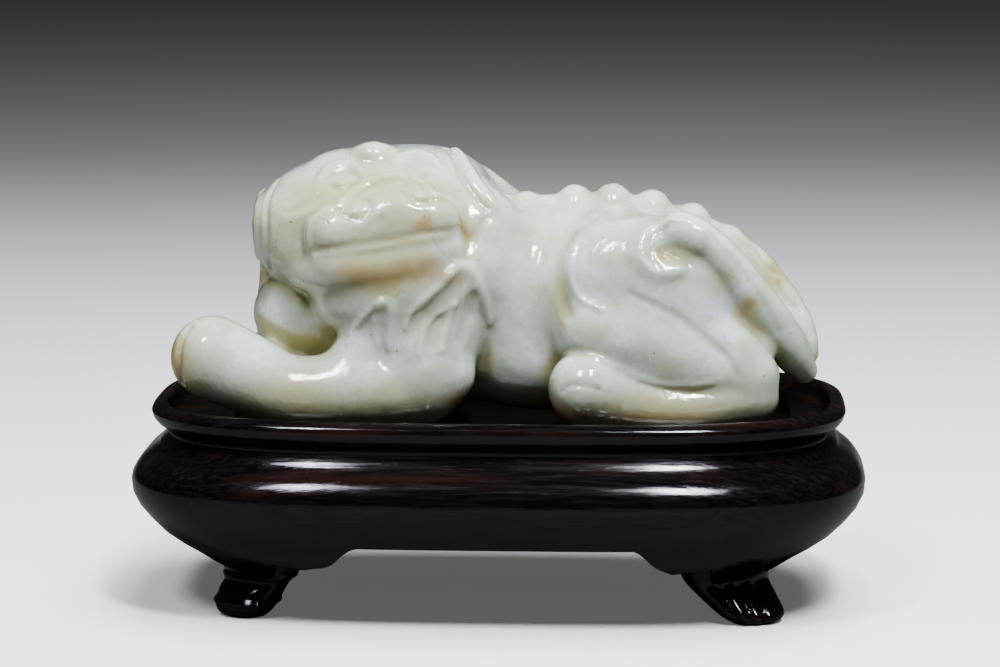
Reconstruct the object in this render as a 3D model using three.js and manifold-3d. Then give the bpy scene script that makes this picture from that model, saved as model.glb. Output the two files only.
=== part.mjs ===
// A carved jade mythical beast lying on its carved hardwood stand.
// Millimetres, +Z up, the beast's tail towards +X and its face towards -Y.
// The stand's feet are on z = 0 and its middle is over the origin.
import * as THREE from "three";
import Module from "manifold-3d";
import { SimplifyModifier } from "three/addons/modifiers/SimplifyModifier.js";
import { mergeVertices } from "three/addons/utils/BufferGeometryUtils.js";

const wasm = await Module();
wasm.setup();
const beastOnStand = new THREE.Group();
beastOnStand.name = "jade_beast_on_stand";

// sizes of the stand
const RIM_HALF_LENGTH = 58.4;
const RIM_HALF_DEPTH = 33.6;
const RIM_TOP = 34.6;
const BULGE_HALF_LENGTH = 61.8;
const BULGE_HALF_DEPTH = 37.2;
const UNDER_APRON = 5.9;
const TRAY_FLOOR = 31.8;
const SEAT_FLOOR = 30.7;
const HOLLOW_TOP = 22;
const AROUND = 72;

// sizes of the beast
const REST_GAP = 0.3;
const BEAST_BOTTOM = SEAT_FLOOR + REST_GAP;
const CELL = 1.0;
const BEAST_TRIANGLES = 5760;
const FAR_DROP = 3;

// The stone is a block of cells round the beast, each holding its distance to the skin,
// negative inside. Heights in it are measured from the beast's underside.
const LOW = [-58, -31, -2.5];
const HIGH = [58, 31, 50.5];
const COUNT = LOW.map((low, axis) => Math.round((HIGH[axis] - low) / CELL) + 1);
const stone = new Float32Array(COUNT[0] * COUNT[1] * COUNT[2]).fill(6);
const cell = (i, j, k) => (i * COUNT[1] + j) * COUNT[2] + k;
const between = (value, least, most) => Math.min(Math.max(value, least), most);

// joins a form to the stone inside a box, or cuts it out, with a soft seam
function carve(low, high, soft, cut, distance) {
  const place = (v, axis) => between(Math.round((v - LOW[axis]) / CELL), 0, COUNT[axis] - 1);
  const [i0, j0, k0] = low.map(place);
  const [i1, j1, k1] = high.map(place);
  const side = cut ? -1 : 1;
  for (let i = i0; i <= i1; i++) {
    for (let j = j0; j <= j1; j++) {
      for (let k = k0; k <= k1; k++) {
        const old = stone[cell(i, j, k)] * side;
        const next = distance(LOW[0] + i * CELL, LOW[1] + j * CELL, LOW[2] + k * CELL);
        const seam = Math.max(soft - Math.abs(old - next), 0) / soft;
        stone[cell(i, j, k)] = side * (Math.min(old, next) - seam * seam * soft / 4);
      }
    }
  }
}

// an egg, or a rounded block where the power is higher, tilted about X and then about Y
function lump(centre, radii, soft, tilt = [0, 0], power = 2) {
  const turn = new THREE.Matrix4().makeRotationY(tilt[1] * Math.PI / 180);
  turn.multiply(new THREE.Matrix4().makeRotationX(tilt[0] * Math.PI / 180)).invert();
  const reach = Math.max(...radii) * (power > 2 ? 1.4 : 1) + soft + 1;
  const q = new THREE.Vector3();
  carve(centre.map((v) => v - reach), centre.map((v) => v + reach), soft, false, (x, y, z) => {
    q.set(x - centre[0], y - centre[1], z - centre[2]).applyMatrix4(turn);
    const share = [Math.abs(q.x) / radii[0], Math.abs(q.y) / radii[1], Math.abs(q.z) / radii[2]];
    const total = share[0] ** power + share[1] ** power + share[2] ** power + 1e-9;
    const slope = Math.hypot(share[0] ** (power - 1) / radii[0],
      share[1] ** (power - 1) / radii[1], share[2] ** (power - 1) / radii[2]);
    return (total ** (1 / power) - 1) * total ** (1 - 1 / power) / (slope + 1e-9);
  });
}

// a smooth curve through the points, every number of a point carried along
function smooth(points, step) {
  const ends = [points[0], ...points, points[points.length - 1]];
  const path = [];
  for (let i = 1; i < ends.length - 2; i++) {
    const [a, b, c, d] = ends.slice(i - 1, i + 3);
    const parts = Math.max(1, Math.ceil(Math.hypot(c[0] - b[0], c[1] - b[1], c[2] - b[2]) / step));
    for (let n = 0; n < parts; n++) {
      const t = n / parts;
      path.push(b.map((v, m) => 0.5 * (2 * v + (c[m] - a[m]) * t
        + (2 * a[m] - 5 * v + 4 * c[m] - d[m]) * t * t
        + (3 * v - a[m] - 3 * c[m] + d[m]) * t * t * t)));
    }
  }
  path.push(points[points.length - 1]);
  return path;
}

// a round limb along a path of [x, y, z, radius]
function follow(path, soft, cut) {
  const room = Math.max(...path.map((p) => p[3])) + soft + 1;
  const low = [0, 1, 2].map((m) => Math.min(...path.map((p) => p[m])) - room);
  const high = [0, 1, 2].map((m) => Math.max(...path.map((p) => p[m])) + room);
  carve(low, high, soft, cut, (x, y, z) => {
    let nearest = 9;
    for (let n = 0; n + 1 < path.length; n++) {
      const [a, b] = [path[n], path[n + 1]];
      const [vx, vy, vz] = [b[0] - a[0], b[1] - a[1], b[2] - a[2]];
      const [px, py, pz] = [x - a[0], y - a[1], z - a[2]];
      const t = between((px * vx + py * vy + pz * vz) / (vx * vx + vy * vy + vz * vz + 1e-9), 0, 1);
      const away = Math.hypot(px - t * vx, py - t * vy, pz - t * vz) - a[3] - t * (b[3] - a[3]);
      nearest = Math.min(nearest, away);
    }
    return nearest;
  });
}
const limb = (points, soft) => follow(smooth(points, 2.0), soft, false);

// the distance at any place in the stone
function depth(x, y, z) {
  const g = [x, y, z].map((v, axis) => between((v - LOW[axis]) / CELL, 0, COUNT[axis] - 1.01));
  const [i, j, k] = g.map(Math.floor);
  const [s, t, u] = [g[0] - i, g[1] - j, g[2] - k];
  const edge = (a, b) => stone[cell(a, b, k)] * (1 - u) + stone[cell(a, b, k + 1)] * u;
  const near = edge(i, j) * (1 - t) + edge(i, j + 1) * t;
  const far = edge(i + 1, j) * (1 - t) + edge(i + 1, j + 1) * t;
  return near * (1 - s) + far * s;
}

// the direction straight out of the stone
function outward(p) {
  return new THREE.Vector3(
    depth(p.x + 1, p.y, p.z) - depth(p.x - 1, p.y, p.z),
    depth(p.x, p.y + 1, p.z) - depth(p.x, p.y - 1, p.z),
    depth(p.x, p.y, p.z + 1) - depth(p.x, p.y, p.z - 1)).normalize();
}

// where a look from the front, or from the back, through [x, z] of an upright pane meets the skin
const EYE = new THREE.Vector3(32, -612, 105);
const PANE_Y = -20;
function skin(x, z, side) {
  const eye = new THREE.Vector3(EYE.x, EYE.y * side, EYE.z);
  const place = new THREE.Vector3(x, PANE_Y * side, z);
  const look = place.clone().sub(eye).normalize();
  place.addScaledVector(look, -16);
  let before = depth(place.x, place.y, place.z);
  let gone = 0;
  for (; gone < 45; gone += CELL / 2) {
    place.addScaledVector(look, CELL / 2);
    const now = depth(place.x, place.y, place.z);
    if (now < 0) {
      place.addScaledVector(look, CELL / 2 * now / (before - now));
      break;
    }
    before = now;
  }
  return { place, out: outward(place), met: gone < 45 };
}

// a rib raised on the skin, or a groove where the rise is negative, along [x, z, radius] points
function rib(points, rise, soft, side = 1) {
  const drawn = smooth(points.map(([x, z, r]) => [x, z, 0, r]), 1.2);
  const met = drawn.map(([x, z, , r]) => ({ ...skin(x, z, side), r })).filter((spot) => spot.met);
  for (let pass = 0; pass < 8; pass++) {
    const deep = met.map((spot) => spot.place.y);
    for (let n = 1; n + 1 < met.length; n++) {
      met[n].place.y = (deep[n - 1] + 2 * deep[n] + deep[n + 1]) / 4;
    }
  }
  follow(met.map(({ place, r }) => {
    for (let step = 0; step < 4; step++) {
      place.addScaledVector(outward(place), -depth(place.x, place.y, place.z));
    }
    place.addScaledVector(outward(place), rise > 0 ? rise - r : r + rise);
    return [place.x, place.y, place.z, r];
  }), soft, rise < 0);
}

// a rounded lump standing that far out of the skin
function boss(x, z, radii, rise, soft, tilt = [0, 0]) {
  const { place, out } = skin(x, z, 1);
  const deep = Math.hypot(out.x * radii[0], out.y * radii[1], out.z * radii[2]);
  place.addScaledVector(out, rise - deep);
  lump([place.x, place.y, place.z], radii, soft, tilt);
}

// trunk from chest to rump, and the neck
limb([[-26, 1, 17.5, 14], [-10, 1, 19.3, 16], [8, 0.5, 20, 16.6], [22, 0, 19.8, 16.6],
  [31, 0, 16.2, 13.4], [37, 0, 11.2, 8.6]], 4);
lump([8, -4, 9], [17, 13, 9], 4);
lump([32, 0, 18], [15, 16, 14], 5);
limb([[-2, 1, 21, 14], [-13, 0, 27, 12.5]], 5);
lump([-32, -5.5, 18.3], [9.2, 9.5, 7.6], 1.2);
lump([-23, -3, 13], [9, 11, 10], 2.5);
lump([-33, 0, 10], [8, 12, 8], 2);

// hind legs and upper forelegs, near side and far side, the far haunch a little lower
for (const side of [-1, 1]) {
  lump([24.5, 12.6 * side, 21.4 - (side > 0 ? FAR_DROP : 0)], [15.2, 9.6, 13.8], 2, [0, 0], 2.5);
  lump([34.5, 11 * side, 15.5], [9.5, 6.5, 9], 2);
  limb([[17, 16.6 * side, 16.8, 6.6], [22, 17.6 * side, 16.2, 6.6], [30, 17.8 * side, 13.4, 5.7],
    [36, 17.4 * side, 11, 4.3], [42, 17 * side, 8.4, 4.4]], 0.8);
  limb([[33, 16 * side, 18, 4.5], [38.5, 16.6 * side, 14.2, 4.6], [42.6, 16.8 * side, 9.6, 4.2]], 1.5);
  lump([43.2, 13.4 * side, 14], [3.4, 3, 4], 1.5);
  limb([[42.5, 17 * side, 5.8, 4.4], [32, 19 * side, 4.4, 4.2], [23, 20 * side, 5.2, 4.9],
    [15.5, 20.3 * side, 7.6, 6.5]], 0.8);
  limb([[-17, 12 * side, 20, 9.5], [-13.5, 14.6 * side, 14.5, 8], [-11.6, 16.2 * side, 10.4, 6.9]], 2.5);
  lump([-8.4, 17.2 * side, 9.2], [5.2, 4.6, 4.8], 1.5);
  limb([[-6.5, 10.5 * side, 24.4, 6], [-9.5, 13.2 * side, 17.5, 8], [-11.6, 16 * side, 11, 6.8]], 2);
}

// near foreleg with its raised paw, far foreleg tucked in
limb([[-12, -17, 7.2, 6.4], [-22, -18, 6.4, 6.3], [-33.5, -17, 6.1, 6.1], [-40.5, -15.2, 8.5, 6.6],
  [-47.2, -13.5, 11.2, 7]], 2);
limb([[-19.5, -15.5, 19, 4.4], [-21.4, -16.6, 13.5, 4.8], [-26, -17.6, 8, 4.8], [-33, -17, 6, 4.8]], 1.5);
limb([[-12, 17, 7.2, 6.4], [-22, 18, 6, 6.3], [-33.5, 14, 5.6, 5.8], [-40, 10, 6.4, 6.2]], 2);

// head turned to the front: skull, cheek, muzzle, lower jaw, forehead and the band beside the cheek
lump([-20.8, -1.5, 33.5], [20.4, 16, 11.6], 2.5, [0, -8], 2.5);
lump([-31.5, -4, 31], [9.8, 12.5, 8.2], 2, [0, 0], 2.5);
lump([-18.5, -13, 31.2], [13.6, 10.8, 9.4], 1.5, [14, -8], 2.5);
lump([-19, -11.5, 27.2], [16, 11.5, 4.4], 1.5, [0, -7], 2.5);
lump([-21.3, -5.5, 42.2], [6.2, 7.5, 4.3], 2.5, [-25, 0]);
limb([[-38.4, -2, 30, 2], [-39, -2, 24, 1.6], [-39.6, -3, 19, 1.3], [-40, -4, 13.5, 0.8]], 1);

// nose, upper lip in two lobes, lower lip, mouth and the groove beside it
boss(-17.3, 38.7, [8.2, 4, 4.2], 0.9, 1.2, [0, -10]);
boss(-26.7, 32.5, [4.6, 3.4, 3.7], 0.7, 1);
boss(-8.6, 35.8, [4.2, 3.4, 3.9], 0.7, 1);
rib([[-28.8, 28.2, 1.6], [-24.4, 27.4, 2.4], [-17.8, 27.8, 2.6], [-11.2, 29.3, 2.4], [-6.3, 31, 1.6]],
  0.3, 1.2);
rib([[-30.5, 29.9, 0.9], [-24.9, 29.9, 1.1], [-15.3, 32.3, 1.1], [-5.3, 33.8, 0.9]], -0.6, 0.4);
rib([[-31.3, 29.5, 0.9], [-31.2, 34.1, 0.9], [-26.1, 38, 0.9]], -0.6, 0.6);

// eyes, ears, cheek band and the groove behind the jaw
boss(-24.3, 41.7, [3.2, 2.4, 2.1], 0.6, 0.5);
boss(-12.7, 43.4, [3.2, 2.4, 2.1], 0.6, 0.5);
rib([[-35.4, 42.2, 1.2], [-37.9, 39.4, 1.6], [-38.6, 34.3, 1.6], [-38.4, 29.1, 1.2]], 0.6, 0.5);
rib([[-6.9, 46.3, 0.9], [-4.2, 44, 1.3], [-0.1, 40.6, 1.5], [1.9, 39, 1]], 0.8, 0.6);
rib([[-1.2, 36, 1.3], [-4, 31.7, 1.3], [-4.5, 29.4, 1.1]], -0.6, 0.9);

// spine, its knobs, and the tail that hangs down over the rump
limb([[0, 0, 34.2, 2.4], [13, 0, 34.8, 2.4], [22, 0, 34.6, 2.4], [29, 0, 32.6, 2.6],
  [35, 0, 29.6, 3]], 2);
limb([[33, 0, 31.4, 2.6], [40, -0.5, 27.4, 3.4], [45.5, -1, 21.5, 3.6], [49.6, -2, 15, 3.6],
  [51, -3, 11.4, 2.8]], 1);
for (const [x, z, r] of [[4.5, 35, 2.6], [12.6, 36.1, 3], [19, 36.3, 3.1], [25.4, 34.8, 3.1],
  [32.2, 32.6, 3.1], [38.4, 28.9, 3], [43.6, 24.6, 2.8], [47.8, 19.2, 2.6]]) {
  lump([x, 0, z], [r, 4.2, 2.9], 1.5);
}

// side strands of the tail and their hooks, shoulder locks, haunch crescents, thigh and shank creases
const STRAND = [[51.2, 6.5, 8.8, 2.3], [48.9, 9.5, 12.4, 3.3], [46, 12.5, 17.2, 3.5],
  [41.8, 15.4, 22.9, 3.4], [37.7, 17.2, 28.5, 3.1], [33.7, 18, 32.2, 2.8], [29.3, 18, 34, 2.3],
  [26, 17.8, 34.4, 1.8]];
const HOOK = [[33, 33.6, 1.6], [28.5, 35.3, 1.9], [25.2, 35.2, 2], [23.3, 33.2, 2],
  [22.7, 30.6, 2], [23.8, 28.4, 1.9], [26.2, 27.1, 1.6], [29, 26.9, 1.2], [30.4, 27.4, 0.9]];
for (const side of [1, -1]) {
  const drop = side < 0 ? FAR_DROP : 0;
  limb(STRAND.map(([x, y, z, r]) => [x, -y * side, z - (z > 20 ? drop : 0), r]), 0.6);
  rib(HOOK.map(([x, z, r]) => [x, z - drop, r]), 1.3, 0.4, side);
  rib([[27.4, 31.6 - drop, 1.6], [31, 29.6 - drop, 1.2]], -0.8, 0.8, side);
  rib([[-16.6, 22.4, 0.9], [-22, 19.6, 1.2], [-25.4, 13.6, 0.9]], 0.7, 0.6, side);
  rib([[-6, 26.6, 1.1], [-10, 22.4, 1.4], [-14.2, 14.8, 1]], 0.7, 0.7, side);
  rib([[-3.4, 26.4, 1.1], [-0.8, 21.8, 1.4], [-0.8, 15.8, 1]], 0.7, 0.7, side);
  rib([[14.8, 34.6, 0.9], [10, 27.8, 1.3], [10.6, 18.8, 1.2], [13.4, 14.8, 0.9]], -0.7, 1, side);
  rib([[14, 33, 0.9], [12.3, 28.5, 1.1], [14.8, 22.4, 1.1], [18.2, 20.4, 0.9]], 0.8, 0.7, side);
  rib([[20, 24.4, 0.9], [30.7, 19.2, 1.2], [38.9, 13, 1.1]], -0.7, 0.8, side);
  rib([[14, 14.6, 0.9], [20.1, 10.9, 0.9], [28.3, 8.6, 0.9], [37, 8.5, 0.9]], -0.7, 0.5, side);
}

// turns a geometry into a closed solid and back
function solidOf(geometry) {
  const bare = new THREE.BufferGeometry();
  bare.setAttribute("position", geometry.getAttribute("position"));
  if (geometry.index) bare.setIndex(geometry.index);
  const welded = mergeVertices(bare, 1e-4);
  return new wasm.Manifold(new wasm.Mesh({
    numProp: 3,
    vertProperties: Float32Array.from(welded.getAttribute("position").array),
    triVerts: Uint32Array.from(welded.index.array),
  }));
}
function meshOf(solid, name, material) {
  const shape = solid.getMesh();
  const geometry = new THREE.BufferGeometry();
  geometry.setAttribute("position", new THREE.BufferAttribute(shape.vertProperties, 3));
  geometry.setIndex(new THREE.BufferAttribute(shape.triVerts, 1));
  geometry.computeVertexNormals();
  const mesh = new THREE.Mesh(geometry, material);
  mesh.name = name;
  return mesh;
}
function block(low, high) {
  const size = low.map((v, m) => high[m] - v);
  const box = new THREE.BoxGeometry(...size);
  return solidOf(box.translate(...low.map((v, m) => v + size[m] / 2)));
}

// the skin of the stone as triangles: every cell is split into six corners-to-corner wedges
const WEDGES = [[0, 1, 3, 7], [0, 3, 2, 7], [0, 2, 6, 7], [0, 6, 4, 7], [0, 4, 5, 7], [0, 5, 1, 7]];
const FIRST = [[0, 1, 2, 3], [1, 0, 3, 2], [2, 0, 1, 3], [3, 0, 2, 1]];
const PAIRS = [[0, 1, 2, 3], [0, 2, 3, 1], [0, 3, 1, 2], [1, 2, 0, 3], [1, 3, 2, 0], [2, 3, 0, 1]];
function skinOfStone() {
  const points = [];
  const faces = [];
  const known = new Map();
  const crossing = (a, b) => {
    const [low, high] = a < b ? [a, b] : [b, a];
    const key = low * stone.length + high;
    if (!known.has(key)) {
      const t = between(stone[low] / (stone[low] - stone[high]), 0.03, 0.97);
      const spot = (n) => [Math.floor(n / COUNT[2] / COUNT[1]), Math.floor(n / COUNT[2]) % COUNT[1],
        n % COUNT[2]];
      const [p, q] = [spot(low), spot(high)];
      points.push(...p.map((v, axis) => LOW[axis] + (v + (q[axis] - v) * t) * CELL));
      known.set(key, known.size);
    }
    return known.get(key);
  };
  for (let i = 0; i + 1 < COUNT[0]; i++) {
    for (let j = 0; j + 1 < COUNT[1]; j++) {
      for (let k = 0; k + 1 < COUNT[2]; k++) {
        const corners = [0, 1, 2, 3, 4, 5, 6, 7]
          .map((c) => cell(i + (c & 1), j + (c >> 1 & 1), k + (c >> 2)));
        const inside = corners.filter((c) => stone[c] < 0).length;
        if (inside === 0 || inside === 8) continue;
        for (const wedge of WEDGES) {
          const w = wedge.map((c) => corners[c]);
          const deep = w.map((c) => stone[c] < 0);
          const many = deep.filter(Boolean).length;
          if (many === 1 || many === 3) {
            const [a, b, c, d] = FIRST[deep.indexOf(many === 1)].map((n) => w[n]);
            const face = [crossing(a, b), crossing(a, c), crossing(a, d)];
            faces.push(...(many === 1 ? face : face.reverse()));
          } else if (many === 2) {
            const [p, q, r, s] = PAIRS.find((order) => deep[order[0]] && deep[order[1]]).map((n) => w[n]);
            const [a, b, c, d] = [crossing(p, r), crossing(p, s), crossing(q, s), crossing(q, r)];
            faces.push(a, b, c, a, c, d);
          }
        }
      }
    }
  }
  const geometry = new THREE.BufferGeometry();
  geometry.setAttribute("position", new THREE.BufferAttribute(new Float32Array(points), 3));
  geometry.setIndex(new THREE.BufferAttribute(new Uint32Array(faces), 1));
  return geometry;
}

// the jade beast: thinned to flat facets, its underside cut level
const fine = skinOfStone();
const spare = fine.getAttribute("position").count * (1 - BEAST_TRIANGLES * 3 / fine.index.count);
const facets = await new SimplifyModifier().modify(fine, Math.round(spare));
const beastSolid = solidOf(facets.translate(0, 0, BEAST_BOTTOM))
  .intersect(block([-70, -40, BEAST_BOTTOM], [70, 40, 100]));
beastOnStand.add(meshOf(beastSolid, "jade_beast",
  new THREE.MeshStandardMaterial({ color: 0xccd0bd, roughness: 0.25, metalness: 0 })));

// the stand: rings from the floor up the outside, over the rim and into the tray
function ring(halfLength, halfDepth, z, squareness) {
  const points = [];
  for (let n = 0; n < AROUND; n++) {
    const angle = (n + 0.5) / AROUND * 2 * Math.PI;
    const [c, s] = [Math.cos(angle), Math.sin(angle)];
    const far = (Math.abs(c) ** squareness + Math.abs(s) ** squareness) ** (-1 / squareness);
    points.push(halfLength * far * c, halfDepth * far * s, z);
  }
  return points;
}
const RINGS = [
  [43.6, 24.4, 6.2, 5],
  [46.0, 27.0, 7.6, 4.8],
  [48.4, 29.2, 8.9, 4.4],
  [53.8, 32.6, 11.8, 3.7],
  [58.9, 35.3, 15.6, 3.3],
  [60.9, 36.6, 18.2, 3.3],
  [BULGE_HALF_LENGTH, BULGE_HALF_DEPTH, 21.2, 3.3],
  [60.9, 36.4, 23.6, 3.3],
  [58.4, 34.4, 26.3, 3.3],
  [56.0, 32.3, 28.2, 3.3],
  [55.5, 31.8, 29.2, 3.3],
  [57.3, 33.0, 31.1, 3.3],
  [RIM_HALF_LENGTH, RIM_HALF_DEPTH, 33.0, 3.3],
  [57.8, 33.0, 34.1, 3.3],
  [56.3, 31.5, RIM_TOP, 3.3],
  [55.4, 30.6, 33.6, 3.3],
  [54.8, 30.0, TRAY_FLOOR, 3.3],
];
const standPoints = RINGS.flatMap((size) => ring(...size));
const standFaces = [];
for (let level = 0; level + 1 < RINGS.length; level++) {
  for (let n = 0; n < AROUND; n++) {
    const [a, b] = [level * AROUND + n, level * AROUND + (n + 1) % AROUND];
    standFaces.push(a, b, b + AROUND, a, b + AROUND, a + AROUND);
  }
}
const under = RINGS.length * AROUND;
standPoints.push(0, 0, RINGS[0][2], 0, 0, TRAY_FLOOR);
for (let n = 0; n < AROUND; n++) {
  const next = (n + 1) % AROUND;
  standFaces.push(under, next, n, under + 1, under - AROUND + n, under - AROUND + next);
}
const standForm = new THREE.BufferGeometry();
standForm.setAttribute("position", new THREE.Float32BufferAttribute(standPoints, 3));
standForm.setIndex(standFaces);

// openings: a scalloped arch in the front and back, another in the ends, a hollow underneath
function arch(right, left, reach) {
  const outline = [...right.map(([x, z]) => new THREE.Vector2(x, z)),
    ...left.map(([x, z]) => new THREE.Vector2(-x, z)).reverse()];
  const form = new THREE.ExtrudeGeometry(new THREE.Shape(outline),
    { depth: 2 * reach, bevelEnabled: false });
  return form.translate(0, 0, -reach).rotateX(Math.PI / 2);
}
const longArch = arch([[32, UNDER_APRON], [31.4, 7.8], [29.9, 9.3], [27.7, 10.4], [26.2, 11.6],
  [25, 13], [23.4, 14.2]], [[33.6, UNDER_APRON], [33.3, 7.2], [32.3, 8.5], [30.4, 9.6], [27.6, 10.1],
  [25.8, 10.9], [24.5, 12.3], [23, 13.6], [21.5, 14.2]], 50);
const END_HALF = [[15, UNDER_APRON], [14.3, 8.2], [13, 9.9], [11.4, 11], [10, 12.4], [8.8, 14.2]];
const endArch = arch(END_HALF, END_HALF, 75).rotateZ(Math.PI / 2);

// the seat: a shallow pool that follows the outline of the resting beast
const SEAT = [[49, 8], [47.5, 22], [38, 25.5], [22, 28], [10, 27.5], [4, 22.5], [-3, 26], [-14, 27],
  [-30, 26], [-40, 22.5], [-44, 10]];
const nearEdge = SEAT.map(([x, y]) => new THREE.Vector2(x, -y)).reverse();
const seatCurve = new THREE.SplineCurve([...SEAT.map(([x, y]) => new THREE.Vector2(x, y)), ...nearEdge,
  new THREE.Vector2(SEAT[0][0], SEAT[0][1])]);
const seat = new THREE.ExtrudeGeometry(new THREE.Shape(seatCurve.getSpacedPoints(56).slice(0, -1)),
  { depth: 5, bevelEnabled: false }).translate(0, 0, SEAT_FLOOR);

// a foot at each corner, set across it: it narrows under the apron and turns out over a round sole,
// in rings of [shift outwards, half width across, half width outwards, height]
const LEFT_FOOT = [[2.9, 3.3, 3, 0], [3, 4.4, 4, 0.8], [2.6, 5.3, 4.6, 2.4], [1.8, 5.7, 4.3, 4.4],
  [1, 5.9, 4, 5.8], [0.4, 6.6, 4.4, 7.2], [-0.5, 8, 5.4, 9.5]];
const RIGHT_FOOT = [[4.5, 3.6, 3.2, 0], [4.3, 4.9, 4.4, 0.8], [3.7, 5.8, 4.9, 1.9], [1.8, 6.7, 4.6, 4.2],
  [0.5, 7.2, 4.4, 5.8], [-0.2, 7.6, 4.6, 7.2], [-0.5, 8.2, 5.4, 9.5]];
const ANKLE = [38.5, 18];
const SIDEWAYS = 0.6;
const FOOT_TURN = Math.PI / 6;
const FOOT_AROUND = 20;
const FOOT_SQUARENESS = 2.3;
function foot(rings, end, side) {
  const points = [];
  const faces = [];
  rings.forEach(([shift, across, outwards, z], level) => {
    for (let n = 0; n < FOOT_AROUND; n++) {
      const angle = n / FOOT_AROUND * 2 * Math.PI;
      const [c, s] = [Math.cos(angle), Math.sin(angle)];
      const far = (Math.abs(c) ** FOOT_SQUARENESS + Math.abs(s) ** FOOT_SQUARENESS)
        ** (-1 / FOOT_SQUARENESS);
      const [u, v] = [across * far * c, outwards * far * s];
      points.push(ANKLE[0] + shift + u * Math.cos(FOOT_TURN) + v * Math.sin(FOOT_TURN),
        ANKLE[1] + shift * SIDEWAYS - u * Math.sin(FOOT_TURN) + v * Math.cos(FOOT_TURN), z);
      const [a, b] = [level * FOOT_AROUND + n, level * FOOT_AROUND + (n + 1) % FOOT_AROUND];
      if (level + 1 < rings.length) {
        faces.push(a, b, b + FOOT_AROUND, a, b + FOOT_AROUND, a + FOOT_AROUND);
      }
    }
  });
  const top = (rings.length - 1) * FOOT_AROUND;
  for (let n = 1; n + 1 < FOOT_AROUND; n++) {
    faces.push(0, n + 1, n, top, top + n, top + n + 1);
  }
  if (end * side < 0) faces.reverse();
  const form = new THREE.BufferGeometry();
  form.setAttribute("position", new THREE.Float32BufferAttribute(points, 3));
  form.setIndex(faces);
  return solidOf(form.applyMatrix4(new THREE.Matrix4().makeScale(end, side, 1)));
}

let standSolid = solidOf(standForm)
  .subtract(block([-52, -15, UNDER_APRON], [52, 15, HOLLOW_TOP]))
  .subtract(block([-36, -29, UNDER_APRON], [36, 29, HOLLOW_TOP]))
  .subtract(solidOf(longArch))
  .subtract(solidOf(endArch))
  .subtract(solidOf(seat));
for (const [rings, end] of [[LEFT_FOOT, -1], [RIGHT_FOOT, 1]]) {
  for (const side of [-1, 1]) standSolid = standSolid.add(foot(rings, end, side));
}
beastOnStand.add(meshOf(standSolid, "wood_stand",
  new THREE.MeshStandardMaterial({ color: 0x1e1214, roughness: 0.3, metalness: 0 })));

export default beastOnStand;
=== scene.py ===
# A carved jade mythical beast lying on its carved hardwood stand.
# Metres, +Z up. The beast's tail is towards +X, and its head at -X looks out towards -Y.
import math
import bpy
import numpy as np
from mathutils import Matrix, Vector


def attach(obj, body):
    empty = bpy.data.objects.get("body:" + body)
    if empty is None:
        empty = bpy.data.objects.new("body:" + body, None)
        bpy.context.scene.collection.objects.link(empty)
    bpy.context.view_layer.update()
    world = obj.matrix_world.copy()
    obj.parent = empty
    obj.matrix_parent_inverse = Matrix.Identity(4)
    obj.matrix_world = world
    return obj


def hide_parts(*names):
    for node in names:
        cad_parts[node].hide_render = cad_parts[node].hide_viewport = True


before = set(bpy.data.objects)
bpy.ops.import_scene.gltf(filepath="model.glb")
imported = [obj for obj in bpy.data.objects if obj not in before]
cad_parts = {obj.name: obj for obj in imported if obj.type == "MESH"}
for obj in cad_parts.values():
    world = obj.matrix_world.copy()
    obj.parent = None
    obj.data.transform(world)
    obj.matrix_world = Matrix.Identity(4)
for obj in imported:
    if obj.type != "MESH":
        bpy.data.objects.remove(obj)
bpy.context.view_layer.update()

# The jade beast
# One pebble of pale celadon jade, ground and carved all round and polished to a soft gloss,
# with some of the pebble's ochre skin left on it. It only rests in the seat of the stand.
MM = 0.001
BEAST_BOTTOM = 31.0
CELL = 0.5
LOW = np.array([-58.0, -31.0, -2.5])
HIGH = np.array([58.0, 31.0, 50.5])
COUNT = np.round((HIGH - LOW) / CELL).astype(int) + 1

# The stone is a block of cells, each holding its distance to the skin in mm, negative
# inside. Heights in it are measured from the beast's underside.
OPEN_AIR = 6.0
stone = np.full(COUNT, OPEN_AIR, np.float32)


def cells(low, high):
    """The cells between two corners, and their places."""
    first = np.clip(np.floor((np.array(low) - LOW) / CELL).astype(int), 0, COUNT)
    last = np.clip(np.ceil((np.array(high) - LOW) / CELL).astype(int) + 1, 0, COUNT)
    span = tuple(slice(a, max(a, b)) for a, b in zip(first, last))
    x, y, z = np.ogrid[span]
    return span, LOW[0] + x * CELL, LOW[1] + y * CELL, LOW[2] + z * CELL


def carve(span, form, soft, cut=False):
    """Joins a form to the stone, or cuts it out, with a soft seam."""
    side = -1 if cut else 1
    old = stone[span] * side
    seam = np.maximum(soft - np.abs(old - form), 0) / soft
    stone[span] = side * (np.minimum(old, form) - seam * seam * soft / 4)


# how much farther than its radii the corners of a rounded block reach
BLOCK_CORNER = 1.4


def lump(centre, radii, soft, tilt=(0, 0), power=2):
    """An egg, or a rounded block where the power is higher, tilted about X and then about Y."""
    a, b = math.radians(tilt[0]), math.radians(tilt[1])
    about_x = np.array([[1, 0, 0], [0, math.cos(a), -math.sin(a)], [0, math.sin(a), math.cos(a)]])
    about_y = np.array([[math.cos(b), 0, math.sin(b)], [0, 1, 0], [-math.sin(b), 0, math.cos(b)]])
    turn = about_y @ about_x
    reach = max(radii) * (BLOCK_CORNER if power > 2 else 1) + soft + 1
    span, x, y, z = cells(np.array(centre) - reach, np.array(centre) + reach)
    away = [x - centre[0], y - centre[1], z - centre[2]]
    share = [np.abs(sum(turn[k, m] * away[k] for k in range(3))) / radii[m] for m in range(3)]
    total = sum(s ** power for s in share) + 1e-9
    slope = np.sqrt(sum((s ** (power - 1) / r) ** 2 for s, r in zip(share, radii))) + 1e-9
    form = (total ** (1 / power) - 1) * total ** (1 - 1 / power) / slope
    carve(span, form.astype(np.float32), soft)


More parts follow.
